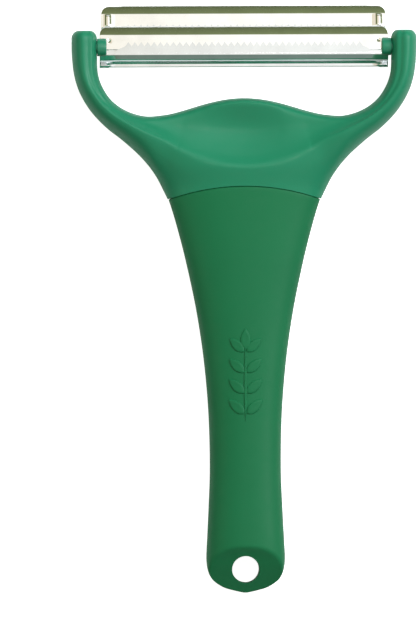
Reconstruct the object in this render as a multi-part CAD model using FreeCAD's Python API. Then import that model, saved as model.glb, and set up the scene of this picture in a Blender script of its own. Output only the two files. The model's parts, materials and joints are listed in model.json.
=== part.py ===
import FreeCAD, Part
import math
import os

from FreeCAD import Vector

# Wide swivel-head vegetable peeler with two toothed blade plates, lying on its back.
# X runs across the arms, Y from the hanging hole to the head, Z up off the table.
# The origin is on the table under the middle of the whole object. Millimetres.

# ---- driving dimensions: handle ----
tail_y = -89.4              # far end of the grip
handle_mid_z = 6.4          # height of the widest line of the grip
seam_radius = 68.1          # the yoke meets the grip on an arc
seam_top_y = 34.7
hang_hole_y = -82.2
hang_hole_r = 4.1
tang_half_width = 8.0
tang_bottom_z = 3.0
tang_top_z = 9.6
tang_end_y = -22.0
tang_corner_r = 1.5
tang_clearance = 0.1
tail_angle = math.radians(84)   # how far round its quarter ellipse the tail closes
# the dished front of the tail, as (y, z)
tail_scoop = [(-75.7, 13.6), (-77.0, 11.0), (-79.0, 9.3), (-83.0, 8.1), (-92.0, 7.0)]

# ---- driving dimensions: yoke ----
arm_tip_y = 81.9
arm_tip_r = 2.2
arm_outer = 52.45
arm_inner = 44.7            # half of the gap between the arms
crest_y = 61.3              # top of the saddle between the arms
crest_z = 12.0
ridge_r = 42.0              # the thumb rest ends on an arc of this radius
ridge_y = 40.8
ridge_z = 14.9
dish_low_y = 51.5
dish_low_z = 11.3
upper_slope = (12.0, 20.0, 6.5, 3.0)    # from z, to z, how far out each side, how far down
lower_slope = (5.5, -1.0, 4.5, 3.0)

# ---- driving dimensions: swivelling head ----
pivot_y = 76.8
pivot_z = 10.3
boss_r = 2.65
boss_inner_x = 41.8
shoulder_gap = 0.35         # air between a trunnion's shoulder and the arm
journal_r = 2.0
journal_clearance = 0.05
journal_end_x = 48.6
bore_end_x = 49.2
foot_x0 = 41.0
foot_x1 = 44.0
sheet = 0.6                 # thickness of the blades and guards
tooth_pitch = 1.95
tooth_height = 1.4
tooth_count = 37
notch_x = 38.6              # where a blade narrows to its end tang
notch_depth = 1.2
hem_r = 0.5
front_half = 43.8           # half widths of the two pairs of plates
rear_half = 43.3
guard_drop = 1.15           # each guard's face lies this far below its blade's
guard_start_y = -0.6
front_fold_y = 3.8          # where a guard's face ends, and the width of its flange
front_flange = 2.65
rear_fold_y = 5.05
rear_flange = 2.25
flange_tilt = 41.0
corner_r = 2.4
rear_shift_y = 5.3          # the rear blade and guard lie further out and deeper than the front pair
rear_drop_z = 4.7
bead_x = 41.2
bead_y0 = 6.5
bead_y1 = 9.9
bead_r = 0.7
bead_sink = 0.25
# a blade's upper surface from its hem over its bar to its tooth tips, as (y, z) from the pivot
blade_line = [(-5.4, -4.1), (-4.9, -3.3), (-4.0, -1.2), (-2.2, 0.6), (1.6, -0.4)]
tip_y, tip_z = blade_line[-1]
bar_y, bar_z = blade_line[-2]
face_slope = (tip_z - bar_z) / (tip_y - bar_y)
foot_line = [(-1.6, -0.8), (-0.8, -8.4), (5.6, -8.4), (6.2, -5.6), (3.6, -1.4)]

# ---- outline stations: y, half width, middle height, height above it, depth below it ----
grip_stations = [
    (-79.0, 11.95, 6.4, 6.9, 7.0),
    (-66.0, 11.4, 6.4, 7.0, 7.0),
    (-51.0, 10.75, 6.4, 6.9, 7.0),
    (-36.0, 11.1, 6.4, 6.9, 7.0),
    (-22.0, 12.05, 6.4, 7.0, 7.0),
    (-9.0, 13.75, 6.4, 7.1, 7.0),
    (4.0, 16.05, 6.4, 7.3, 7.0),
    (18.0, 19.1, 6.4, 7.5, 7.0),
    (31.0, 22.95, 6.4, 7.7, 7.1),
    (42.0, 27.4, 6.4, 7.9, 7.3),
]
yoke_stations = [
    (25.0, 21.3, 6.4, 7.9, 7.0),
    (31.0, 23.3, 6.45, 8.0, 7.1),
    (37.0, 26.5, 6.6, 8.2, 7.4),
    (42.0, 30.2, 6.8, 8.8, 8.0),
    (47.0, 35.2, 7.2, 9.7, 8.8),
    (52.0, 41.4, 7.7, 10.8, 9.8),
    (56.0, 45.5, 8.1, 11.9, 10.9),
    (61.0, 49.0, 8.6, 13.0, 12.1),
    (67.0, 51.3, 9.1, 13.8, 13.2),
    (74.0, 52.2, pivot_z, 14.2, 13.8),
    (80.0, arm_outer, pivot_z, 14.2, 13.8),
    (86.0, 52.3, pivot_z, 14.2, 13.8),
]


def quarter(start, corner, end):
    """A quarter of an ellipse as one curve."""
    k = 0.5523              # a Bezier's usual share for a quarter circle
    curve = Part.BezierCurve()
    curve.setPoles([start, start + (corner - start) * k, end + (corner - end) * k, end])
    return curve.toShape()


def hull_section(y, half_width, mid_z, rise, depth):
    right = Vector(half_width, y, mid_z)
    left = Vector(-half_width, y, mid_z)
    top = Vector(0, y, mid_z + rise)
    base = Vector(0, y, mid_z - depth)
    return Part.Wire([
        quarter(right, Vector(half_width, y, top.z), top),
        quarter(top, Vector(-half_width, y, top.z), left),
        quarter(left, Vector(-half_width, y, base.z), base),
        quarter(base, Vector(half_width, y, base.z), right),
    ])


def tail_stations(steps=7):
    """The tail closes like a quarter ellipse in plan and thins towards its tip."""
    start_y, half_width, mid_z, rise, depth = grip_stations[0]
    rows = []
    for i in range(steps, 0, -1):
        angle = tail_angle * i / steps
        y = start_y + (tail_y - start_y) * math.sin(angle) / math.sin(tail_angle)
        height = math.cos(angle) ** 0.35
        rows.append((y, half_width * math.cos(angle) ** 0.85, mid_z, rise * height, depth * height))
    return rows


def slab(x0, x1, y0, y1, z0, z1):
    return Part.makeBox(x1 - x0, y1 - y0, z1 - z0, Vector(x0, y0, z0))


def mirrored(shape):
    return shape.mirror(Vector(0, 0, 0), Vector(1, 0, 0))


def along_x(points, x0, x1):
    """A prism across X from a closed outline of (y, z) points."""
    wire = Part.makePolygon([Vector(x0, y, z) for y, z in points + points[:1]])
    return Part.Face(wire).extrude(Vector(x1 - x0, 0, 0))


def seam_cylinder(radius):
    return Part.makeCylinder(radius, 60, Vector(0, seam_top_y - seam_radius, -20))


def tang(clearance):
    body = slab(-tang_half_width - clearance, tang_half_width + clearance,
                tang_end_y - clearance * 5, seam_top_y + 4,
                tang_bottom_z - clearance, tang_top_z + clearance)
    upright = [e for e in body.Edges if e.BoundBox.YLength > 20]
    return body.makeFillet(tang_corner_r + clearance, upright)


def make_grip():
    hull = Part.makeLoft([hull_section(*s) for s in tail_stations() + grip_stations], True, False)
    body = hull.common(slab(-40, 40, -100, 60, 0, 40))
    body = body.common(seam_cylinder(seam_radius))
    # the front of the tail is scooped down to a thin web around the hanging hole
    above = [(tail_scoop[-1][0], 30.0), (tail_scoop[0][0], 30.0)]
    body = body.cut(along_x(tail_scoop + above, -30, 30))
    body = body.cut(Part.makeCylinder(hang_hole_r, 40, Vector(0, hang_hole_y, -10)))
    return body.cut(tang(tang_clearance))


def window_wire(z, side, dip):
    """The opening between the arms: side widens it, dip lowers its floor."""
    half = [
        (arm_inner + side, 95.0),
        (arm_inner + side, 84.0),
        (arm_inner - 0.1 + side, 72.0),
        (arm_inner - 1.3 + side, 65.8 - dip * 0.5),
        (arm_inner - 4.7 + side * 0.7, 60.4 - dip * 0.7),
        (arm_inner - 10.3 + side * 0.3, 57.1 - dip),
        (28.0, crest_y - 5.6 - dip),
        (21.0, crest_y - 4.5 - dip),
        (13.5, crest_y - 2.1 - dip),
        (6.5, crest_y - 0.4 - dip),
        (0.0, crest_y - dip),
    ]
    points = [Vector(x, y, z) for x, y in half]
    points += [Vector(-x, y, z) for x, y in reversed(half[:-1])]
    curve = Part.BSplineCurve()
    curve.interpolate(points)
    closing = Part.makeLine(points[-1], points[0])
    return Part.Wire([curve.toShape(), closing])


def window_slope(slope):
    """Cuts the window's edge back at a slant, between two levels."""
    z0, z1, side, dip = slope
    return Part.makeLoft([window_wire(z0, 0.0, 0.0), window_wire(z1, side, dip)], True, True)


def thumb_dish():
    """A dish turned about an upright line between the arms."""
    centre = Vector(0, ridge_y + ridge_r, 0)
    rim = Vector(0, ridge_y, ridge_z)
    crest = Vector(0, crest_y + 1, crest_z)
    floor = Part.Arc(rim, Vector(0, dish_low_y, dish_low_z), crest).toShape()
    lid = Part.makePolygon([crest, Vector(0, centre.y, crest_z), Vector(0, centre.y, 40),
                            Vector(0, ridge_y, 40), rim])
    section = Part.Face(Part.Wire([floor] + lid.Edges))
    return section.revolve(centre, Vector(0, 0, 1), 360)


def tip_corner():
    """What rounds the outer corner of the right arm's tip."""
    x = arm_outer - arm_tip_r
    y = arm_tip_y - arm_tip_r
    return slab(x, 60, y, 90, -5, 40).cut(Part.makeCylinder(arm_tip_r, 60, Vector(x, y, -10)))


def make_yoke():
    hull = Part.makeLoft([hull_section(*s) for s in yoke_stations], True, False)
    body = hull.common(slab(-60, 60, 0, arm_tip_y, 0, 40))
    body = body.cut(seam_cylinder(seam_radius))
    body = body.cut(Part.Face(window_wire(-10, 0, 0)).extrude(Vector(0, 0, 60)))
    # the inner edges slope, so each arm has a soft ridge along its middle
    for tool in (window_slope(upper_slope), window_slope(lower_slope), thumb_dish()):
        body = body.cut(tool)
    corner = tip_corner()
    body = body.cut(corner).cut(mirrored(corner))
    body = body.fuse(tang(0.0).cut(slab(-30, 30, seam_top_y + 2.0, 60, -5, 40)))
    bore = Part.makeCylinder(journal_r + journal_clearance, bore_end_x - 40,
                             Vector(40, pivot_y, pivot_z), Vector(1, 0, 0))
    body = body.cut(bore).cut(mirrored(bore))
    return body.removeSplitter()


def bent_sheet(line, x_half):
    """A folded sheet across X: line is its upper surface as (y, z) from the pivot, metal below."""
    lower = []
    for i, (y, z) in enumerate(line):
        first = max(i - 1, 0)
        normal_y, normal_z, count = 0.0, 0.0, 0
        for a, b in zip(line[first:i + 1], line[first + 1:i + 2]):
            length = math.hypot(b[0] - a[0], b[1] - a[1])
            normal_y += (b[1] - a[1]) / length
            normal_z -= (b[0] - a[0]) / length
            count += 1
        scale = sheet * count / (normal_y ** 2 + normal_z ** 2)
        lower.append((y + normal_y * scale, z + normal_z * scale))
    outline = [(pivot_y + y, pivot_z + z) for y, z in line + lower[::-1]]
    return along_x(outline, -x_half, x_half)


def tooth_gaps(shift_y):
    """What is cut away above a blade: the gaps between its teeth, and the notches over its end tangs."""
    top_y = tip_y + shift_y
    valley_y = top_y - tooth_height
    first = -tooth_pitch * tooth_count / 2
    end_x = 60.0
    notch_y = valley_y - notch_depth
    points = [(-end_x, top_y + 5), (-end_x, notch_y), (-notch_x, notch_y), (first, valley_y)]
    for i in range(tooth_count):
        x = first + i * tooth_pitch
        points.append((x + tooth_pitch / 2, top_y))
        points.append((x + tooth_pitch, valley_y))
    points += [(notch_x, notch_y), (end_x, notch_y), (end_x, top_y + 5)]
    wire = Part.makePolygon([Vector(x, pivot_y + y, -20) for x, y in points + points[:1]])
    return Part.Face(wire).extrude(Vector(0, 0, 60))


def rounded_plan(x_half, y0, y1, lower_r, upper_r):
    """The outline of a plate seen from above, with rounded corners."""
    plate = slab(-x_half, x_half, pivot_y + y0, pivot_y + y1, -20, 40)
    for y, radius in ((pivot_y + y0, lower_r), (pivot_y + y1, upper_r)):
        corners = [e for e in plate.Edges if e.BoundBox.ZLength > 50 and abs(e.CenterOfMass.y - y) < 0.1]
        plate = plate.makeFillet(radius, corners)
    return plate


def make_blade(shift_y, shift_z, x_half):
    """Toothed strip with its folded, hemmed lower bar."""
    line = [(y + shift_y, z + shift_z) for y, z in blade_line]
    low_y, low_z = line[0]
    hem_start = Vector(-x_half, pivot_y + low_y + 0.1, pivot_z + low_z - 0.25)
    hem = Part.makeCylinder(hem_r, 2 * x_half, hem_start, Vector(1, 0, 0))
    body = bent_sheet(line, x_half).fuse(hem)
    body = body.common(rounded_plan(x_half, low_y - 1, line[-1][0] + 0.1, 0.8, 0.05))
    return body.cut(tooth_gaps(shift_y)).removeSplitter()


def face_z(y):
    """Height of a guard's face under its blade, from the pivot."""
    return tip_z - guard_drop + face_slope * (y - tip_y)


def make_guard(shift_y, shift_z, x_half, fold_y, flange):
    """Guide plate behind a blade: a flat face with its far edge folded down."""
    fall = math.tan(math.radians(flange_tilt)) * flange
    line = [(guard_start_y, face_z(guard_start_y)), (fold_y, face_z(fold_y)),
            (fold_y + flange, face_z(fold_y) - fall)]
    line = [(y + shift_y, z + shift_z) for y, z in line]
    plan = rounded_plan(x_half, line[0][0] - 1, line[-1][0], 0.5, corner_r)
    return bent_sheet(line, x_half).common(plan)


def add_beads(guard):
    """Half-round stiffening beads near the ends of the rear guard's face."""
    for x in (-bead_x, bead_x):
        ends = []
        for y in (bead_y0, bead_y1):
            z = face_z(y - rear_shift_y) - rear_drop_z - bead_sink
            ends.append(Vector(x, pivot_y + y, pivot_z + z))
        run = ends[1] - ends[0]
        guard = guard.fuse(Part.makeCylinder(bead_r, run.Length, ends[0], run))
    return guard.removeSplitter()


def make_trunnion(plates):
    """Right-hand pivot block: a journal in the arm, a boss, and a foot that holds the plate ends."""
    x_axis = Vector(1, 0, 0)
    shoulder = arm_inner - shoulder_gap
    start = Vector(boss_inner_x, pivot_y, pivot_z)
    body = Part.makeCylinder(boss_r, shoulder - boss_inner_x, start, x_axis)
    journal = Part.makeCylinder(journal_r, journal_end_x - boss_inner_x, start, x_axis)
    foot = along_x([(pivot_y + y, pivot_z + z) for y, z in foot_line], foot_x0, foot_x1)
    body = body.fuse([journal, foot])
    for plate in plates:
        body = body.cut(plate)
    return max(body.Solids, key=lambda s: s.Volume)


os.makedirs("parts", exist_ok=True)
nodes = {
    "grip": make_grip(),
    "yoke": make_yoke(),
    "front_blade": make_blade(0, 0, front_half),
    "front_guard": make_guard(0, 0, front_half, front_fold_y, front_flange),
    "rear_blade": make_blade(rear_shift_y, -rear_drop_z, rear_half),
    "rear_guard": add_beads(make_guard(rear_shift_y, -rear_drop_z, rear_half, rear_fold_y, rear_flange)),
}
plates = [nodes[n] for n in ("front_blade", "front_guard", "rear_blade", "rear_guard")]
nodes["right_trunnion"] = make_trunnion(plates)
nodes["left_trunnion"] = mirrored(nodes["right_trunnion"])
for name, shape in nodes.items():
    box = shape.BoundBox
    print(name, shape.ShapeType, len(shape.Solids), shape.isValid(), round(shape.Volume, 1),
          [round(v, 2) for v in (box.XMin, box.XMax, box.YMin, box.YMax, box.ZMin, box.ZMax)])
    shape.Solids[0].exportStep("parts/%s.step" % name)
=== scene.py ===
import json
import math
import bmesh
import bpy
from mathutils import Matrix, Vector


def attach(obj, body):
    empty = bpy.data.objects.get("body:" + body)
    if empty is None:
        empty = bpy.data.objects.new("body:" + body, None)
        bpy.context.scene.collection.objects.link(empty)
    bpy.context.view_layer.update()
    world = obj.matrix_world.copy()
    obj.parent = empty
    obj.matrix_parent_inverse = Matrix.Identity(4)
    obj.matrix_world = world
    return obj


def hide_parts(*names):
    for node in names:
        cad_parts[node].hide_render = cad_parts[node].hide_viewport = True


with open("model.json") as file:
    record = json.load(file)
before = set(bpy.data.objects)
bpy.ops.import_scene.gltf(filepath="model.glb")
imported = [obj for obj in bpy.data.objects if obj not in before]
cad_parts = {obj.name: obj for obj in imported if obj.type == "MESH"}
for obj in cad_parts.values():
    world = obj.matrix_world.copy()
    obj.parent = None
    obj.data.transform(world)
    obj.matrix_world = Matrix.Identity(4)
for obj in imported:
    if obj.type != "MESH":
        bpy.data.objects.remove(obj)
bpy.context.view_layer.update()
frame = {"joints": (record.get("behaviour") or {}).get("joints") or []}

scene = bpy.context.scene
mm = 0.001
pivot = Vector(frame["joints"][0]["pos_m"]) / mm  # the head's axis, in mm
seam = {  # where the grip meets the yoke, and the fullness of the section there
    "radius": 68.1, "topY": 34.7, "halfWidth": 23.3, "middle": 6.4, "rise": 8.0,
    "drop": 7.0, "fullness": 2.2,
}


def seamY(x):
    return seam["topY"] - seam["radius"] + math.sqrt(seam["radius"] ** 2 - x * x)


def between(a, b, share):
    return a + (b - a) * share


def smoothStep(low, high, value):
    t = min(max((value - low) / (high - low), 0.0), 1.0)
    return t * t * (3 - 2 * t)


def softMin(a, b, radius):
    gap = max(radius - abs(a - b), 0.0) / radius
    return min(a, b) - gap * gap * radius / 4


def alongRows(rows, place):
    # a smooth line through every row of numbers, place running from 0 to 1
    spot = min(max(place, 0.0), 1.0) * (len(rows) - 1)
    i = min(int(spot), len(rows) - 2)
    t = spot - i
    a, b = rows[i], rows[i + 1]
    before = rows[i - 1] if i else [2 * p - q for p, q in zip(a, b)]
    after = rows[i + 2] if i + 2 < len(rows) else [2 * q - p for p, q in zip(a, b)]
    out = []
    for p0, p1, p2, p3 in zip(before, a, b, after):
        out.append(0.5 * (2 * p1 + (p2 - p0) * t + (2 * p0 - 5 * p1 + 4 * p2 - p3) * t * t
                          + (3 * p1 - p0 - 3 * p2 + p3) * t ** 3))
    return out


def byFirst(rows, value):
    # the same smooth line, looked up by its first column
    low, high = 0.0, 1.0
    for _ in range(30):
        half = (low + high) / 2
        if (alongRows(rows, half)[0] < value) == (rows[0][0] < rows[-1][0]):
            low = half
        else:
            high = half
    return alongRows(rows, (low + high) / 2)


def addPiece(name, mesh, material, body):
    piece = bpy.data.objects.new(name, mesh)
    scene.collection.objects.link(piece)
    mesh.materials.append(material)
    for face in mesh.polygons:
        face.use_smooth = True
    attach(piece, body)
    return piece


def meshFrom(bm, name, outward=True):
    bmesh.ops.remove_doubles(bm, verts=bm.verts[:], dist=0.002)
    if outward:
        bmesh.ops.recalc_face_normals(bm, faces=bm.faces[:])
    bmesh.ops.scale(bm, vec=Vector((mm, mm, mm)), verts=bm.verts[:])
    mesh = bpy.data.meshes.new(name)
    bm.to_mesh(mesh)
    bm.free()
    return mesh


def ringOfVerts(bm, points):
    made = bmesh.ops.create_circle(bm, segments=len(points), radius=1.0)["verts"]
    for vert, point in zip(made, points):
        vert.co = point
    return made


def nextRing(bm, ring, points):
    # pulls a copy of a closed ring out to new points and skins the gap
    edges = [bm.edges.get((ring[i], ring[(i + 1) % len(ring)])) for i in range(len(ring))]
    grown = bmesh.ops.extrude_edge_only(bm, edges=edges)["geom"]
    fresh = set(g for g in grown if isinstance(g, bmesh.types.BMVert))
    made = []
    for vert in ring:
        made.append(next(e.other_vert(vert) for e in vert.link_edges if e.other_vert(vert) in fresh))
    for vert, point in zip(made, points):
        vert.co = point
    return made


def closeRing(bm, ring):
    bmesh.ops.contextual_create(bm, geom=[bm.edges.get((ring[i], ring[(i + 1) % len(ring)]))
                                          for i in range(len(ring))])


def loft(bm, rings):
    first = ring = ringOfVerts(bm, rings[0])
    for points in rings[1:]:
        ring = nextRing(bm, ring, points)
    closeRing(bm, first)
    closeRing(bm, ring)


def cutAway(piece, bm):
    # cuts the shape in bm out of the piece for good
    tool = bpy.data.objects.new("tool", meshFrom(bm, "tool"))
    scene.collection.objects.link(tool)
    cut = piece.modifiers.new("cut", "BOOLEAN")
    cut.operation = "DIFFERENCE"
    cut.solver = "EXACT"
    cut.object = tool
    bpy.context.view_layer.update()
    result = bpy.data.meshes.new_from_object(piece.evaluated_get(bpy.context.evaluated_depsgraph_get()))
    piece.modifiers.clear()
    piece.data = result
    result.set_sharp_from_angle(angle=math.radians(48))
    bpy.data.objects.remove(tool)


view = {"distance": 2600.0, "fromLeft": 1.2, "fromHead": 1.5, "roll": -0.22,
        "height": 193.9, "aim": (-11.22, -5.8, 8.0)}


def makeCamera():
    data = bpy.data.cameras.new("camera")
    camera = bpy.data.objects.new("camera", data)
    scene.collection.objects.link(camera)
    aim = Vector(view["aim"]) * mm
    sideways, along = math.tan(math.radians(view["fromLeft"])), math.tan(math.radians(view["fromHead"]))
    forward = Vector((sideways, -along, -1)).normalized()
    right = forward.cross(Vector((0, 1, 0))).normalized()
    up = right.cross(forward)
    turn = Matrix((right, up, -forward)).transposed()
    turn = turn @ Matrix.Rotation(math.radians(view["roll"]), 3, "Z")
    camera.matrix_world = Matrix.Translation(aim - forward * view["distance"] * mm) @ turn.to_4x4()
    data.lens = data.sensor_width * view["distance"] / view["height"]
    data.clip_end = 10.0
    scene.camera = camera
    print("camera set")


studio = {
    "floorSize": 4.0, "floorColor": (0.9, 0.9, 0.9, 1), "floorGlow": 0.12, "floorSeenGlow": 0.95,
    "worldPale": (0.215, 0.22, 0.175), "worldBright": (1.25, 1.24, 1.19), "leftShade": (0.70, 0.65, 0.55),
    "horizonHead": (0.15, 0.185, 0.09), "horizonTail": (0.15, 0.205, 0.175),
    "skyStart": 0.44, "skyFull": 0.62,       # where the bright sky begins and is full, 1 being overhead
    "horizonTurn": 0.3, "shadeEdge": (0.002, 0.014),
    "lift": (0.28, 0.75, 1.5),               # up to this height the horizon brightens from, to
    "lights": [
        # name, place, aim, size x, size y, power, colour, seen in reflections
        ("overhead", (0.28, 0.8, 0.88), (0, 0.02, 0), 0.9, 0.6, 8.1, (0.93, 1, 1.08), False),
        ("ridgeLight", (0.24, 0.36, 1.35), (0, 0.04, 0), 0.3, 0.2, 1.7, (1, 1, 0.97), True),
        ("rightKey", (0.95, 0.3, 0.8), (0, 0.02, 0), 0.5, 0.5, 6.4, (0.95, 1, 1.06), True),
        ("leftFill", (-0.9, -0.1, 0.6), (0, 0, 0), 0.7, 0.7, 0.7, (1, 1, 0.62), True),
    ],
}


def makeFloor():
    bm = bmesh.new()
    bmesh.ops.create_grid(bm, x_segments=8, y_segments=8, size=studio["floorSize"] / 2)
    mesh = bpy.data.meshes.new("floor")
    bm.to_mesh(mesh)
    bm.free()
    floor = bpy.data.objects.new("floor", mesh)
    scene.collection.objects.link(floor)
    paper = bpy.data.materials.new("paper")
    paper.use_nodes = True
    shader = paper.node_tree.nodes["Principled BSDF"]
    shader.inputs["Base Color"].default_value = studio["floorColor"]
    shader.inputs["Roughness"].default_value = 0.9
    shader.inputs["Specular IOR Level"].default_value = 0.0
    shader.inputs["Emission Color"].default_value = (1, 1, 1, 1)
    seen = paper.node_tree.nodes.new("ShaderNodeLightPath")
    glow = paper.node_tree.nodes.new("ShaderNodeMapRange")
    glow.inputs["To Min"].default_value = studio["floorGlow"]
    glow.inputs["To Max"].default_value = studio["floorSeenGlow"]
    paper.node_tree.links.new(seen.outputs["Is Camera Ray"], glow.inputs["Value"])
    paper.node_tree.links.new(glow.outputs["Result"], shader.inputs["Emission Strength"])
    mesh.materials.append(paper)
    print("floor made")


def makeLights():
    for name, place, aim, sizeX, sizeY, power, color, mirrors in studio["lights"]:
        data = bpy.data.lights.new(name, "AREA")
        data.shape = "RECTANGLE"
        data.size, data.size_y = sizeX, sizeY
        data.energy = power
        data.color = color
        lamp = bpy.data.objects.new(name, data)
        scene.collection.objects.link(lamp)
        lamp.location = place
        lamp.visible_glossy = mirrors
        lamp.rotation_euler = (Vector(aim) - Vector(place)).to_track_quat("-Z", "Y").to_euler()
    print("lights set", len(studio["lights"]))


def mixNode(tree, first, second, blend="MIX"):
    mix = tree.nodes.new("ShaderNodeMix")
    mix.data_type, mix.blend_type = "RGBA", blend
    for socket, color in ((6, first), (7, second)):  # the two colour sockets
        if color:
            mix.inputs[socket].default_value = (*color, 1)
    return mix


def rangeNode(tree, low, high, toLow=0.0, toHigh=1.0):
    node = tree.nodes.new("ShaderNodeMapRange")
    node.inputs["From Min"].default_value, node.inputs["From Max"].default_value = low, high
    node.inputs["To Min"].default_value, node.inputs["To Max"].default_value = toLow, toHigh
    return node


def makeWorld():
    # plain soft light for the plastics, and a bright sky over a dark horizon for what the steel reflects
    world = bpy.data.worlds.new("studio")
    scene.world = world
    world.use_nodes = True
    tree = world.node_tree
    tree.nodes.clear()
    node, link = tree.nodes.new, tree.links.new
    coords = node("ShaderNodeTexCoord")
    split = node("ShaderNodeSeparateXYZ")
    link(coords.outputs["Generated"], split.inputs[0])
    side = rangeNode(tree, -studio["horizonTurn"], studio["horizonTurn"])
    horizon = mixNode(tree, studio["horizonTail"], studio["horizonHead"])
    link(split.outputs["Y"], side.inputs["Value"])
    link(side.outputs["Result"], horizon.inputs[0])
    top, dim, bright = studio["lift"]
    rise = rangeNode(tree, 0.0, top, dim, bright)
    lifted = node("ShaderNodeVectorMath")
    lifted.operation = "SCALE"
    link(split.outputs["Z"], rise.inputs["Value"])
    link(horizon.outputs[2], lifted.inputs[0])
    link(rise.outputs["Result"], lifted.inputs["Scale"])
    ramp = node("ShaderNodeValToRGB")
    dark, full = ramp.color_ramp.elements
    dark.position, dark.color = studio["skyStart"], (0, 0, 0, 1)
    full.position, full.color = studio["skyFull"], (1, 1, 1, 1)
    sky = mixNode(tree, None, studio["worldBright"])
    link(split.outputs["Z"], ramp.inputs["Fac"])
    link(ramp.outputs["Color"], sky.inputs[0])
    link(lifted.outputs["Vector"], sky.inputs[6])
    edge = rangeNode(tree, *studio["shadeEdge"])
    edge.interpolation_type = "SMOOTHSTEP"
    shade = mixNode(tree, studio["leftShade"], (1, 1, 1))
    both = mixNode(tree, None, None, "MULTIPLY")
    both.inputs[0].default_value = 1.0
    link(split.outputs["X"], edge.inputs["Value"])
    link(edge.outputs["Result"], shade.inputs[0])
    link(sky.outputs[2], both.inputs[6])
    link(shade.outputs[2], both.inputs[7])
    plain = node("ShaderNodeBackground")
    plain.inputs["Color"].default_value = (*studio["worldPale"], 1)
    mirrored = node("ShaderNodeBackground")
    link(both.outputs[2], mirrored.inputs["Color"])
    path = node("ShaderNodeLightPath")
    mix = node("ShaderNodeMixShader")
    out = node("ShaderNodeOutputWorld")
    link(path.outputs["Is Glossy Ray"], mix.inputs["Fac"])
    link(plain.outputs[0], mix.inputs[1])
    link(mirrored.outputs[0], mix.inputs[2])
    link(mix.outputs[0], out.inputs["Surface"])
    scene.view_settings.view_transform = "Standard"
    print("world set")


def newGroup(name, inputs, outputs):
    group = bpy.data.node_groups.new(name, "ShaderNodeTree")
    for label, kind, value in inputs:
        socket = group.interface.new_socket(label, in_out="INPUT", socket_type=kind)
        socket.default_value = value
    for label, kind in outputs:
        group.interface.new_socket(label, in_out="OUTPUT", socket_type=kind)
    return group, group.nodes.new("NodeGroupInput"), group.nodes.new("NodeGroupOutput")


def mouldGroup():
    # fine moulded skin: soft colour drift, fine grain and a few polished patches
    floatKind, colorKind = "NodeSocketFloat", "NodeSocketColor"
    group, start, end = newGroup("mouldedSkin", [
        ("Color", colorKind, (0.04, 0.3, 0.17, 1)), ("Drift", floatKind, 0.08),
        ("Grain Size", floatKind, 2600.0), ("Roughness", floatKind, 0.42)], [
        ("Color", colorKind), ("Roughness", floatKind), ("Height", floatKind)])
    node, link = group.nodes.new, group.links.new
    coords = node("ShaderNodeTexCoord")
    slow = node("ShaderNodeTexNoise")
    slow.inputs["Scale"].default_value = 38.0
    slow.inputs["Detail"].default_value = 3.0
    fine = node("ShaderNodeTexNoise")
    fine.inputs["Detail"].default_value = 2.0
    patchy = node("ShaderNodeTexNoise")
    patchy.inputs["Scale"].default_value = 420.0
    patchy.inputs["Detail"].default_value = 4.0
    for texture in (slow, fine, patchy):
        link(coords.outputs["Object"], texture.inputs["Vector"])
    link(start.outputs["Grain Size"], fine.inputs["Scale"])
    swing = node("ShaderNodeMapRange")
    swing.inputs["From Min"].default_value, swing.inputs["From Max"].default_value = 0.3, 0.7
    swing.inputs["To Min"].default_value = 1.0
    link(slow.outputs["Fac"], swing.inputs["Value"])
    more = node("ShaderNodeMath")
    more.operation = "ADD"
    more.inputs[0].default_value = 1.0
    link(start.outputs["Drift"], more.inputs[1])
    link(more.outputs[0], swing.inputs["To Max"])
    tint = node("ShaderNodeVectorMath")
    tint.operation = "SCALE"
    link(start.outputs["Color"], tint.inputs[0])
    link(swing.outputs["Result"], tint.inputs["Scale"])
    rough = node("ShaderNodeMapRange")
    rough.inputs["From Min"].default_value, rough.inputs["From Max"].default_value = 0.3, 0.7
    rough.inputs["To Min"].default_value, rough.inputs["To Max"].default_value = -0.05, 0.06
    link(patchy.outputs["Fac"], rough.inputs["Value"])
    total = node("ShaderNodeMath")
    total.operation = "ADD"
    link(rough.outputs["Result"], total.inputs[0])
    link(start.outputs["Roughness"], total.inputs[1])
    link(tint.outputs["Vector"], end.inputs["Color"])
    link(total.outputs[0], end.inputs["Roughness"])
    link(fine.outputs["Fac"], end.inputs["Height"])
    return group


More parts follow.
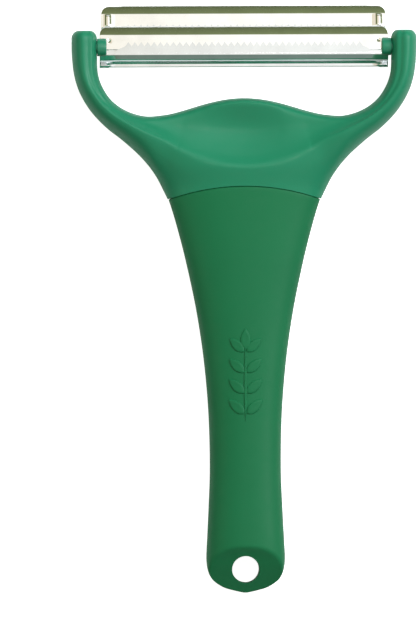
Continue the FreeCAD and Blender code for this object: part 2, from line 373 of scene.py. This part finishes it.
def rolledGroup():
    # rolled and polished sheet: long fine streaks across the head, faint cloudy stain, small scratches
    floatKind, colorKind = "NodeSocketFloat", "NodeSocketColor"
    group, start, end = newGroup("rolledSheet", [
        ("Color", colorKind, (0.8, 0.8, 0.76, 1)), ("Roughness", floatKind, 0.16),
        ("Streaks", floatKind, 0.08)], [
        ("Color", colorKind), ("Roughness", floatKind), ("Height", floatKind)])
    node, link = group.nodes.new, group.links.new
    coords = node("ShaderNodeTexCoord")
    stretch = node("ShaderNodeMapping")
    stretch.inputs["Scale"].default_value = (60, 5200, 5200)
    lines = node("ShaderNodeTexNoise")
    lines.inputs["Scale"].default_value = 1.0
    lines.inputs["Detail"].default_value = 3.0
    cloud = node("ShaderNodeTexNoise")
    cloud.inputs["Scale"].default_value = 160.0
    cloud.inputs["Detail"].default_value = 4.0
    link(coords.outputs["Object"], stretch.inputs["Vector"])
    link(stretch.outputs["Vector"], lines.inputs["Vector"])
    link(coords.outputs["Object"], cloud.inputs["Vector"])
    swing = node("ShaderNodeMapRange")
    swing.inputs["From Min"].default_value, swing.inputs["From Max"].default_value = 0.3, 0.7
    swing.inputs["To Min"].default_value, swing.inputs["To Max"].default_value = 0.94, 1.04
    link(cloud.outputs["Fac"], swing.inputs["Value"])
    tint = node("ShaderNodeVectorMath")
    tint.operation = "SCALE"
    link(start.outputs["Color"], tint.inputs[0])
    link(swing.outputs["Result"], tint.inputs["Scale"])
    spread = node("ShaderNodeMath")
    spread.operation = "MULTIPLY_ADD"
    link(lines.outputs["Fac"], spread.inputs[0])
    link(start.outputs["Streaks"], spread.inputs[1])
    link(start.outputs["Roughness"], spread.inputs[2])
    link(tint.outputs["Vector"], end.inputs["Color"])
    link(spread.outputs[0], end.inputs["Roughness"])
    link(lines.outputs["Fac"], end.inputs["Height"])
    return group


def finishMaterial(name, group, values, metallic, bumpDistance, bumpStrength, plain):
    material = bpy.data.materials.new(name)
    material.use_nodes = True
    tree = material.node_tree
    shader = tree.nodes["Principled BSDF"]
    skin = tree.nodes.new("ShaderNodeGroup")
    skin.node_tree = group
    for label, value in values.items():
        skin.inputs[label].default_value = value
    bump = tree.nodes.new("ShaderNodeBump")
    bump.inputs["Distance"].default_value = bumpDistance
    bump.inputs["Strength"].default_value = bumpStrength
    tree.links.new(skin.outputs["Color"], shader.inputs["Base Color"])
    tree.links.new(skin.outputs["Roughness"], shader.inputs["Roughness"])
    tree.links.new(skin.outputs["Height"], bump.inputs["Height"])
    tree.links.new(bump.outputs["Normal"], shader.inputs["Normal"])
    shader.inputs["Metallic"].default_value = metallic
    for label, value in plain.items():
        shader.inputs[label].default_value = value
    return material


finishes = {
    # name, kind of skin, its values, metallic, bump distance and strength, plain sockets
    "grip": ("gripPlastic", "mould", {"Color": (0.007, 0.158, 0.058, 1), "Roughness": 0.46},
             0.0, 0.00003, 0.5, {"Specular IOR Level": 0.25}),
    "yoke": ("yokePlastic", "mould", {"Color": (0.014, 0.225, 0.112, 1), "Roughness": 0.36},
             0.0, 0.00003, 0.45, {"Specular IOR Level": 0.3}),
    "trunnion": ("trunnionPlastic", "mould", {"Color": (0.010, 0.210, 0.110, 1), "Roughness": 0.34},
                 0.0, 0.00002, 0.3, {"Specular IOR Level": 0.5}),
    "guard": ("guardSteel", "rolled", {"Color": (0.88, 0.88, 0.86, 1), "Roughness": 0.05, "Streaks": 0.05},
              1.0, 0.000002, 0.08, {}),
    "blade": ("bladeSteel", "rolled", {"Color": (0.74, 0.77, 0.79, 1), "Roughness": 0.08, "Streaks": 0.06},
              1.0, 0.000002, 0.08, {}),
}


def makeMaterials():
    skins = {"mould": mouldGroup(), "rolled": rolledGroup()}
    made = {}
    for key, (name, skin, values, metallic, distance, strength, plain) in finishes.items():
        made[key] = finishMaterial(name, skins[skin], values, metallic, distance, strength, plain)
    print("materials made", len(made))
    return made


yoke = {
    # inner x, y, outer x, y, middle z, ridge share, inner z, dish z, ridge z, underside z, fullness
    "arm": [
        (44.65, 79.4, 52.40, 79.4, 10.2, 0.45, 13.6, 15.2, 16.0, 3.4, 2.1),
        (44.65, 74.5, 52.30, 74.5, 10.2, 0.45, 13.6, 15.2, 16.0, 3.4, 2.05),
        (44.40, 69.0, 51.60, 68.3, 10.1, 0.45, 13.5, 15.1, 16.0, 3.1, 2.0),
        (42.90, 64.6, 49.90, 62.9, 9.8, 0.43, 13.3, 14.9, 15.9, 2.6, 2.0),
        (40.00, 60.5, 46.60, 57.4, 9.3, 0.40, 12.9, 14.4, 15.8, 1.9, 1.95),
        (35.60, 57.5, 42.00, 52.5, 8.7, 0.38, 12.4, 13.7, 15.7, 1.2, 1.9),
        (30.20, 55.9, 36.60, 48.2, 8.0, 0.42, 11.9, 12.9, 15.6, 0.6, 1.85),
        (25.20, 56.1, 31.20, 43.2, 7.4, 0.47, 11.6, 12.1, 15.6, 0.2, 1.9),
        (21.30, 56.8, 27.00, 37.8, 6.9, 0.48, 11.4, 11.6, 15.6, 0.0, 2.0),
        (17.60, 57.8, 23.30, 30.6, 6.4, 0.47, 11.3, 11.3, 15.6, 0.0, 2.1)],
    "armSteps": 58, "saddleSteps": 24,
    "crest": (61.3, 57.8, 17.6),      # peak y, y where the arm begins, x there
    "ridge": (40.6, 85.8),            # lowest y, and how fast it climbs
    "saddle": {"inner": 12.6, "dish": 10.3, "ridge": 15.6},
    # y, half width of the body where it spreads into the arms
    "sides": [(28.0, 22.4), (30.6, 23.3), (33.1, 24.4), (37.8, 27.0), (43.2, 31.2), (48.2, 36.6),
              (52.5, 42.0), (57.4, 46.6), (62.9, 49.9)],
    "shoulderFullness": 2.6, "ridgeSoftness": 0.5, "armSoftness": 2.2, "innerRound": 1.6,
    "tipRound": 2.25, "tipY": 81.9, "tipSteps": 8,
    "roundSteps": 7, "dishSteps": 18, "crownSteps": 16,
    # lengths along the handle over which the section turns from grip to arm
    "fullFrom": (30.0, 46.0), "riseFrom": (33.0, 42.0), "softFrom": (57.0, 72.0), "bodyFrom": (48.0, 34.0),
    "hollow": (0.45, 0.8), "past": 1.3,      # places of the dish and its far slope, 1 being the ridge
    # where the joins between arms and body are smoothed, and the dish once more
    "joinBand": (8, 34), "joinFloor": 8.5, "dishBand": (11, 27), "dishCeiling": 13.6,
    "joinPasses": 3, "dishPasses": 14,
    "bore": {"radius": 2.05, "from": 38.0, "to": 49.2},
}


def bodyShare(x, y):
    # how full the body is at a point: 1 along its middle, 0 at its side
    sides = yoke["sides"]
    wide = byFirst(sides, min(max(y, sides[0][0]), sides[-1][0]))[1]
    full = between(seam["fullness"], yoke["shoulderFullness"], smoothStep(*yoke["fullFrom"], y))
    return max(1 - abs(x / wide) ** full, 0.0) ** (1 / full)


def crossSection(inner, outer, heights, bodyWeight):
    # one closed section of the yoke, from the window's edge to the outer edge and back underneath
    middle, share, innerZ, dishZ, ridgeZ, under, full = heights
    roundIn = min(yoke["innerRound"] / (outer - inner).length, share * 0.7)
    steps = yoke["roundSteps"]
    places = [roundIn * (1 - math.cos(math.pi / 2 * i / steps)) for i in range(steps)]
    places += [between(roundIn, share, i / yoke["dishSteps"]) for i in range(yoke["dishSteps"])]
    places += [between(share, 1, math.sin(math.pi / 2 * i / yoke["crownSteps"]))
               for i in range(yoke["crownSteps"] + 1)]
    low, slope = yoke["hollow"]
    past = yoke["past"]
    hollow = [(-0.2, innerZ), (0.0, innerZ), (low, dishZ), (slope, between(dishZ, ridgeZ, 0.5)),
              (1.0, ridgeZ + 0.1), (past, ridgeZ + 0.8 * (ridgeZ - dishZ) + 0.4)]
    upper, lower = [], []
    for a in places:
        t = min(max((a - share) / (1 - share), 0.0), 1.0)
        fall = max(1 - t ** full, 0.0) ** (1 / full)
        spot = inner + (outer - inner) * a
        soft = between(yoke["ridgeSoftness"], yoke["armSoftness"], smoothStep(*yoke["softFrom"], spot.y))
        body = bodyShare(spot.x, spot.y)
        climb = smoothStep(*yoke["riseFrom"], spot.y)
        rise = seam["rise"] + (ridgeZ - seam["middle"] - seam["rise"]) * climb
        crown = between(middle + (ridgeZ - middle) * fall, seam["middle"] + rise * body, bodyWeight)
        floorZ = max(seam["middle"] - seam["drop"] * body, 0.0)
        base = between(middle + (under - middle) * fall, floorZ, bodyWeight)
        z = softMin(crown + soft / 4, byFirst(hollow, min(a / share, past))[1], soft)
        closing = math.sqrt(max(1 - (1 - min(a / roundIn, 1)) ** 2, 0))
        upper.append(Vector((spot.x, spot.y, middle + (z - soft / 4 * t - middle) * closing)))
        lower.append(Vector((spot.x, spot.y, middle + (base - middle) * closing)))
    return upper + lower[::-1]


def yokeSections():
    half = []
    lastArm = yoke["arm"][-1]
    for i in range(yoke["armSteps"] + 1):
        row = alongRows(yoke["arm"], i / yoke["armSteps"])
        inner, outer = Vector(row[0:2] + [0]), Vector(row[2:4] + [0])
        half.append(crossSection(inner, outer, row[4:], smoothStep(*yoke["bodyFrom"], outer.y)))
    peakY, startY, startX = yoke["crest"]
    lowY, climb = yoke["ridge"]
    saddle = yoke["saddle"]
    for i in range(1, yoke["saddleSteps"] + 1):
        angle = math.pi / 2 * i / yoke["saddleSteps"]
        x = seam["halfWidth"] * math.cos(angle)
        innerX = startX * math.cos(angle)
        innerY = between(startY, peakY, math.cos(math.pi * innerX / startX / 2))
        outerY = seamY(x)
        share = 0.5
        for _ in range(12):
            spotX = between(innerX, x, share)
            share = (innerY - (lowY + spotX * spotX / climb)) / (innerY - outerY)
        blend = smoothStep(0.0, 1.0, 1 - math.cos(angle))
        heights = (seam["middle"], share, between(lastArm[6], saddle["inner"], blend),
                   between(lastArm[7], saddle["dish"], blend), saddle["ridge"], 0.0, lastArm[-1])
        half.append(crossSection(Vector((innerX, innerY, 0)), Vector((x, outerY, 0)), heights, 1.0))
    return half


def tipSections(first):
    # the arm's end closes with small rounded corners
    rows = []
    middle = sum((p for p in first), Vector()) / len(first)
    depth = yoke["tipY"] - first[0].y
    for i in range(1, yoke["tipSteps"] + 1):
        angle = math.pi / 2 * i / yoke["tipSteps"]
        pull = yoke["tipRound"] * (1 - math.cos(angle))
        ring = []
        for p in first:
            away = Vector((p.x - middle.x, 0, p.z - middle.z))
            shrink = max(1 - pull / max(away.length, pull + 0.3), 0.05)
            ring.append(Vector((middle.x + away.x * shrink, first[0].y + depth * math.sin(angle),
                                middle.z + away.z * shrink)))
        rows.append(ring)
    return rows[::-1]


def makeYoke(material):
    half = yokeSections()
    half = tipSections(half[0]) + half
    whole = half + [[Vector((-p.x, p.y, p.z)) for p in ring] for ring in half[-2::-1]]
    bm = bmesh.new()
    loft(bm, whole)
    near, far = yoke["joinBand"]
    joins = [v for v in bm.verts if near < abs(v.co.x) < far and v.co.z > yoke["joinFloor"]
             and v.co.y > seamY(min(abs(v.co.x), 30)) + 1.5]
    near, far = yoke["dishBand"]
    dish = [v for v in joins if near < abs(v.co.x) < far and v.co.z < yoke["dishCeiling"]]
    for verts, passes in ((joins, yoke["joinPasses"]), (dish, yoke["dishPasses"])):
        for _ in range(passes):
            bmesh.ops.smooth_vert(bm, verts=verts, factor=0.5,
                                  use_axis_x=True, use_axis_y=True, use_axis_z=True)
    piece = addPiece("yokeShell", meshFrom(bm, "yokeShell"), material, "handle")
    bore = yoke["bore"]
    bm = bmesh.new()
    for side in (1, -1):
        centre = Vector((side * (bore["to"] + bore["from"]) / 2, pivot.y, pivot.z))
        turn = Matrix.Translation(centre) @ Matrix.Rotation(math.pi / 2, 4, "Y")
        bmesh.ops.create_cone(bm, cap_ends=True, segments=40, radius1=bore["radius"],
                              radius2=bore["radius"], depth=bore["to"] - bore["from"], matrix=turn)
    cutAway(piece, bm)
    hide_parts("yoke")
    print("yoke made", len(piece.data.polygons))
    return piece


grip = {
    # y, half width, height above the middle, depth below it
    "stations": [
        (-89.4, 0.6, 0.4, 0.4), (-88.9, 2.8, 1.9, 2.6), (-88.0, 6.0, 3.4, 4.2), (-86.9, 8.1, 4.6, 5.4),
        (-85.4, 9.95, 5.6, 6.2), (-83.6, 11.1, 6.2, 6.7), (-81.4, 11.75, 6.6, 6.9), (-78.4, 12.0, 6.9, 7.0),
        (-73.0, 11.75, 7.0, 7.0), (-64.0, 11.3, 6.9, 7.0), (-52.0, 10.85, 6.8, 7.0),
        (-38.0, 11.05, 6.8, 7.0),
        (-26.0, 11.8, 6.9, 7.0), (-14.0, 13.1, 7.0, 7.0), (-2.0, 15.0, 7.15, 7.0), (10.0, 17.5, 7.35, 7.0),
        (20.0, 19.95, 7.55, 7.0), (30.0, 22.9, 7.75, 7.0), (40.0, 26.9, 7.9, 7.0)],
    "topRound": 0.5, "topSteps": 5, "tongue": 0.5, "seamReach": 18.0, "scoopSoftness": 0.5,
    "around": 72, "rows": 150, "tailRows": 34, "tailLength": 12.0, "rowSpread": 1.25,
    "scoop": [(-74.4, 14.1), (-75.8, 12.7), (-78.4, 10.8), (-82.2, 8.3), (-90.0, 2.6)],
    # the hole's cutter: radius over the true one, z
    "hole": {"y": -82.2, "radius": 4.1, "line": [(0.5, 16.0), (0.0, 6.0), (0.0, 0.5), (2.0, -1.5)]},
}


def scoopTop(y):
    # the dished end around the hole
    first = grip["scoop"][0]
    if y > first[0]:
        return first[1] + (y - first[0]) * 2.2
    return byFirst(grip["scoop"], max(y, grip["scoop"][-1][0]))[1]


def gripRing(baseY, inset):
    ring = []
    follow = smoothStep(seam["topY"] - grip["seamReach"], seam["topY"] - 1.0, baseY)
    power = 2 / seam["fullness"]
    for i in range(grip["around"]):
        angle = 2 * math.pi * i / grip["around"]
        c, s = math.cos(angle), math.sin(angle)
        sideways = math.copysign(abs(c) ** power, c)
        y = baseY
        for _ in range(6 if follow else 1):
            _, width, rise, drop = byFirst(grip["stations"], y)
            y = baseY + follow * (seamY(width * sideways) - seam["topY"])
        _, width, rise, drop = byFirst(grip["stations"], y)
        high = rise if s > 0 else drop
        z = seam["middle"] + (high - inset) * math.copysign(abs(s) ** power, s)
        if y < grip["scoop"][0][0] + 2:
            z = softMin(z, scoopTop(y), grip["scoopSoftness"])
        ring.append(Vector(((width - inset) * sideways, y, max(z, 0.0))))
    return ring


def gripRows():
    # close rows at the round tail and around the scoop, wider ones along the handle
    low, high = grip["stations"][0][0], seam["topY"] - grip["topRound"]
    length, tail = grip["tailLength"], grip["tailRows"]
    rows = [low + length * (1 - math.cos(math.pi / 2 * i / tail)) for i in range(tail)]
    body = grip["rows"] - tail
    rows += [between(low + length, high, (i / body) ** grip["rowSpread"]) for i in range(body)]
    return rows


def makeGrip(material):
    rings = [gripRing(y, 0.0) for y in gripRows()]
    top, r, steps = seam["topY"], grip["topRound"], grip["topSteps"]
    for i in range(steps + 1):
        angle = math.pi / 2 * i / steps
        rings.append(gripRing(top - r + r * math.sin(angle), r * (1 - math.cos(angle))))
    rings.append(gripRing(top + grip["tongue"], r + 0.05))  # reaches just inside the yoke
    bm = bmesh.new()
    loft(bm, rings)
    piece = addPiece("gripShell", meshFrom(bm, "gripShell"), material, "handle")
    hole = grip["hole"]
    bm = bmesh.new()
    rings = []
    for extra, z in hole["line"]:
        r = hole["radius"] + extra
        turns = [2 * math.pi * k / 64 for k in range(64)]
        rings.append([Vector((r * math.cos(t), hole["y"] + r * math.sin(t), z)) for t in turns])
    loft(bm, rings)
    cutAway(piece, bm)
    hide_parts("grip")
    print("grip made", len(piece.data.polygons))
    return piece


sprig = {
    # a raised spray of leaves: foot y, tip y, leaf pairs, leaf length, leaf width, height
    "footY": -36.0, "tipY": -8.5, "pairs": 4, "length": 6.6, "width": 3.3, "height": 0.3, "sink": 0.25,
    "lean": 48.0, "stemWidth": 1.0, "around": 40,
    # the leaf's rings: share of its size, height; the heights are scaled to the true one
    "crown": [(0.99, 0.05), (0.93, 0.24), (0.8, 0.33), (0.5, 0.34), (0.15, 0.30)], "crownTop": 0.34,
}


def gripSkin(x, y):
    _, width, rise, _ = byFirst(grip["stations"], y)
    full = seam["fullness"]
    return seam["middle"] + rise * max(1 - abs(x / width) ** full, 0.0) ** (1 / full)


def addLeaf(bm, footX, footY, angle, length, width):
    # one leaf lying on the grip: rings shrink toward the middle rib while they rise
    count = sprig["around"]
    along, across = Vector((math.sin(angle), math.cos(angle))), Vector((math.cos(angle), -math.sin(angle)))
    rings = []
    lifts = [(size, lift * sprig["height"] / sprig["crownTop"]) for size, lift in sprig["crown"]]
    for size, lift in [(1.0, -sprig["sink"])] + lifts:
        ring = []
        for k in range(count):
            turn = 2 * math.pi * k / count
            u = 0.5 + 0.5 * math.cos(turn) * size
            side = math.sin(turn) * abs(math.sin(turn)) ** 0.5 * size * width / 2 * (1.15 - 0.4 * u)
            spot = Vector((footX, footY)) + along * (u * length) + across * side
            ring.append(Vector((spot.x, spot.y, gripSkin(spot.x, spot.y) + lift)))
        rings.append(ring)
    loft(bm, rings)


def makeSprig(material):
    bm = bmesh.new()
    low, high = sprig["footY"], sprig["tipY"]
    addLeaf(bm, 0.0, low - 1.0, 0.0, high - low - sprig["length"] + 3.0, sprig["stemWidth"])
    addLeaf(bm, 0.0, high - sprig["length"], 0.0, sprig["length"], sprig["width"])
    for i in range(sprig["pairs"]):
        y = between(low + 1.5, high - sprig["length"] - 0.6, i / (sprig["pairs"] - 1))
        size = 1.0 - 0.1 * i / sprig["pairs"]
        for side in (1, -1):
            addLeaf(bm, side * 0.35, y, side * math.radians(sprig["lean"]), sprig["length"] * size,
                    sprig["width"] * size)
    addPiece("leafSprig", meshFrom(bm, "leafSprig"), material, "handle")
    print("sprig made")


sheetMetal = {"thickness": 0.6, "edge": 0.09, "sharpAngle": 50}
blade = {
    # y, z from the pivot, walking down from the teeth over the folded bar to its hem
    "line": [(1.6, -0.4), (-1.3, 0.363), (-1.7, 0.468), (-1.95, 0.51), (-2.2, 0.47), (-2.4, 0.34),
             (-2.65, 0.15), (-3.55, -0.46), (-3.75, -0.62), (-3.92, -0.88), (-4.06, -1.2), (-4.2, -1.6),
             (-4.62, -2.8), (-4.76, -3.18), (-4.9, -3.4), (-5.08, -3.56), (-5.25, -3.62), (-5.8, -3.72),
             (-6.0, -3.85), (-6.08, -4.15), (-6.02, -4.6), (-5.8, -4.8)],
    "pitch": 1.95, "teeth": 37, "toothHeight": 1.3, "tangX": 38.6, "tangDrop": 1.2,
    "facet": (-2.4, 0.34, -5.95, -3.75), "flatten": 0.4, "fade": 2.2,
}
guard = {
    # x, y, radius and depth of the dimple; x, radius, height and y range of the bead
    "startY": -0.6, "drop": 1.15, "slope": -0.263, "tilt": 38.5, "curl": 0.012, "fold": 0.18, "corner": 2.6,
    "dimple": (40.9, 1.95, 0.6, -0.4), "bead": (41.2, 0.9, 0.55, 6.3, 9.9), "beadEnd": 0.6,
    "faceSteps": 22, "flangeSteps": 12, "cornerSteps": 9, "beadSteps": 8, "closest": 0.12,
    "columns": [39.0, 37.0, 34.0, 30.0, 25.0, 20.0, 15.0, 10.0, 5.0, 0.0],
}
head = {
    "front": {"half": 43.8, "shift": (0.0, 0.0), "foldY": 3.75, "edgeY": 6.45, "beads": False},
    "rear": {"half": 43.3, "shift": (5.3, -4.7), "foldY": 4.85, "edgeY": 7.28, "beads": True},
}


def rowOfVerts(bm, points):
    verts = [bm.verts.new(p) for p in points]
    for a, b in zip(verts, verts[1:]):
        bm.edges.new((a, b))
    return verts


def nextRow(bm, row, points):
    edges = [bm.edges.get(pair) for pair in zip(row, row[1:])]
    grown = bmesh.ops.extrude_edge_only(bm, edges=edges)["geom"]
    fresh = set(g for g in grown if isinstance(g, bmesh.types.BMVert))
    made = [next(e.other_vert(v) for e in v.link_edges if e.other_vert(v) in fresh) for v in row]
    for vert, point in zip(made, points):
        vert.co = point
    return made


def sheetPiece(name, bm, material):
    mesh = meshFrom(bm, name, outward=False)
    up = sum((p.normal.z * p.area for p in mesh.polygons))
    if up < 0:
        mesh.flip_normals()
    piece = addPiece(name, mesh, material, "blade_head")
    wall = piece.modifiers.new("wall", "SOLIDIFY")
    wall.thickness = sheetMetal["thickness"] * mm
    wall.offset = -1.0
    wall.use_even_offset = True
    soft = piece.modifiers.new("soft", "BEVEL")
    soft.width = sheetMetal["edge"] * mm
    soft.segments = 2
    soft.limit_method = "ANGLE"
    soft.angle_limit = math.radians(sheetMetal["sharpAngle"])
    piece.modifiers.new("flats", "WEIGHTED_NORMAL")
    return piece


def bladeColumns(half):
    # x, drop below the tip line, for every point of the toothed edge
    first = -blade["pitch"] * blade["teeth"] / 2
    tang = blade["toothHeight"] + blade["tangDrop"]
    left = [(between(-half, -blade["tangX"], i / 12), tang) for i in range(12)]
    left += [(-blade["tangX"], tang - 0.1), (between(-blade["tangX"], first, 0.5), tang - 0.65)]
    middle = []
    for i in range(blade["teeth"]):
        x = first + i * blade["pitch"]
        middle += [(x, blade["toothHeight"]), (x + blade["pitch"] / 2, 0.0)]
    middle.append((-first, blade["toothHeight"]))
    return left + middle + [(-x, d) for x, d in left[::-1]]


def makeBlade(name, spec, material):
    shiftY, shiftZ = spec["shift"]
    line = blade["line"]
    slope = (line[1][1] - line[0][1]) / (line[1][0] - line[0][0])
    columns = bladeColumns(spec["half"])
    bm = bmesh.new()

    def point(x, y, z):
        # toward each end the bar's slopes flatten a little
        topY, topZ, lowY, lowZ = blade["facet"]
        if lowY < y < topY:
            share = (y - topY) / (lowY - topY)
            straight = between(topZ, lowZ, share)
            start = blade["tangX"] - 0.4 - (y - topY) * 0.4
            z = between(z, straight, blade["flatten"] * smoothStep(start, start + blade["fade"], abs(x)))
        return Vector((x, pivot.y + y + shiftY, pivot.z + z + shiftZ))

    row = rowOfVerts(bm, [point(x, line[0][0] - d, line[0][1] - d * slope) for x, d in columns])
    for y, z in line[1:]:
        row = nextRow(bm, row, [point(x, y, z) for x, _ in columns])
    return sheetPiece(name, bm, material)


def guardColumns(half):
    # x of every column, close together at the round corners, beads and dimples
    corner, steps = guard["corner"], guard["cornerSteps"]
    xs = [half - corner + corner * math.cos(math.pi / 2 * i / steps) for i in range(steps)]
    middle, reach, steps = guard["bead"][0], guard["bead"][1] * 1.3, guard["beadSteps"]
    xs += [middle + reach * (i / steps * 2 - 1) for i in range(steps + 1)]
    xs = sorted(set(round(x, 3) for x in xs + guard["columns"]), reverse=True)
    kept = [xs[0]]
    for x in xs[1:]:
        if kept[-1] - x > guard["closest"]:
            kept.append(x)
    return [-x for x in kept] + kept[-2::-1]


def makeGuard(name, spec, material):
    shiftY, shiftZ = spec["shift"]
    tipY, tipZ = blade["line"][0]
    slope, fold = guard["slope"], guard["fold"]
    tilt = math.tan(math.radians(guard["tilt"]))
    columns = guardColumns(spec["half"])
    corner = guard["corner"]

    def faceZ(y):
        return tipZ - guard["drop"] + slope * (y - tipY)

    def point(x, y):
        z = faceZ(y)
        past = y - spec["foldY"]
        if past > -fold:
            ease = min((past + fold) / (2 * fold), 1.0)
            extra = fold * ease * ease if past < fold else fold + (past - fold)
            z -= extra * (tilt + slope) + guard["curl"] * max(past, 0.0) ** 3
        dx, dy, r, depth = guard["dimple"]
        away = math.hypot(abs(x) - dx, y - dy) / r
        if away < 1 and not spec["beads"]:
            z += depth * (1 - away * away) ** 2
        if spec["beads"]:
            beadX, beadR, rise, y0, y1 = guard["bead"]
            side = abs(abs(x) - beadX) / beadR
            ends = min(y + shiftY - y0, y1 - (y + shiftY)) / guard["beadEnd"]
            if side < 1 and ends > 0:
                z += rise * math.sqrt(1 - side * side) * math.sqrt(1 - (1 - min(ends, 1)) ** 2)
        return Vector((x, pivot.y + y + shiftY, pivot.z + z + shiftZ))

    def edgeY(x):
        inset = max(abs(x) - (spec["half"] - corner), 0.0) / corner
        return spec["edgeY"] - corner * (1 - math.sqrt(max(1 - inset * inset, 0.0)))

    faceEnd = spec["foldY"] - fold
    steps = guard["faceSteps"]
    rows = [between(guard["startY"], faceEnd, i / steps) for i in range(steps + 1)]
    bm = bmesh.new()
    row = rowOfVerts(bm, [point(x, rows[0]) for x in columns])
    for y in rows[1:]:
        row = nextRow(bm, row, [point(x, y) for x in columns])
    for i in range(1, guard["flangeSteps"] + 1):
        share = i / guard["flangeSteps"]
        ends = [max(edgeY(x), faceEnd + 0.02) for x in columns]
        row = nextRow(bm, row, [point(x, between(faceEnd, end, share)) for x, end in zip(columns, ends)])
    return sheetPiece(name, bm, material)


trunnion = {
    "boss": (2.7, 41.75, 44.58), "journal": (1.95, 48.5), "round": 0.5, "foot": (41.15, 43.2),
    # y, z from the pivot around the block under the plates
    "footLine": [(-1.5, -1.0), (-0.9, -8.2), (5.5, -8.2), (6.1, -6.0), (3.4, -2.6), (1.9, -1.9)],
}


def makeTrunnion(name, sign, material):
    bossRadius, start, end = trunnion["boss"]
    journalRadius, far = trunnion["journal"]
    r = trunnion["round"]
    profile = [(start, 0.15)]
    for i in range(5, -1, -1):
        angle = math.pi / 2 * i / 5
        profile.append((start + r * (1 - math.sin(angle)), bossRadius - r * (1 - math.cos(angle))))
    profile += [(end - 0.15, bossRadius), (end, bossRadius - 0.15), (end, journalRadius),
                (far - 0.3, journalRadius), (far, journalRadius - 0.3), (far, 0.15)]
    bm = bmesh.new()
    rings = [[Vector((sign * x, pivot.y + radius * math.cos(2 * math.pi * k / 48),
                      pivot.z + radius * math.sin(2 * math.pi * k / 48))) for k in range(48)]
             for x, radius in profile]
    loft(bm, rings)
    low, high = trunnion["foot"]
    line = [Vector((0, pivot.y + y, pivot.z + z)) for y, z in trunnion["footLine"]]
    middle = sum(line, Vector()) / len(line)
    rings = []
    for x, size in ((low, 0.93), (low + 0.2, 1.0), (high - 0.2, 1.0), (high, 0.93)):
        rings.append([middle + (p - middle) * size + Vector((sign * x, 0, 0)) for p in line])
    loft(bm, rings)
    mesh = meshFrom(bm, name)
    mesh.set_sharp_from_angle(angle=math.radians(40))
    return addPiece(name, mesh, material, "blade_head")


def makeHead(materials):
    for side, spec in head.items():
        piece = makeBlade(side + "BladeStrip", spec, materials["blade"])
        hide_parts(side + "_blade")
        piece = makeGuard(side + "GuardPlate", spec, materials["guard"])
        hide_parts(side + "_guard")
        print(side, "blade and guard made")
    for side, sign in (("right", 1), ("left", -1)):
        piece = makeTrunnion(side + "Trunnion", sign, materials["trunnion"])
        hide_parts(side + "_trunnion")
    print("trunnions made")


makeCamera()
makeFloor()
makeLights()
makeWorld()
materials = makeMaterials()
makeYoke(materials["yoke"])
makeGrip(materials["grip"])
makeSprig(materials["grip"])
makeHead(materials)
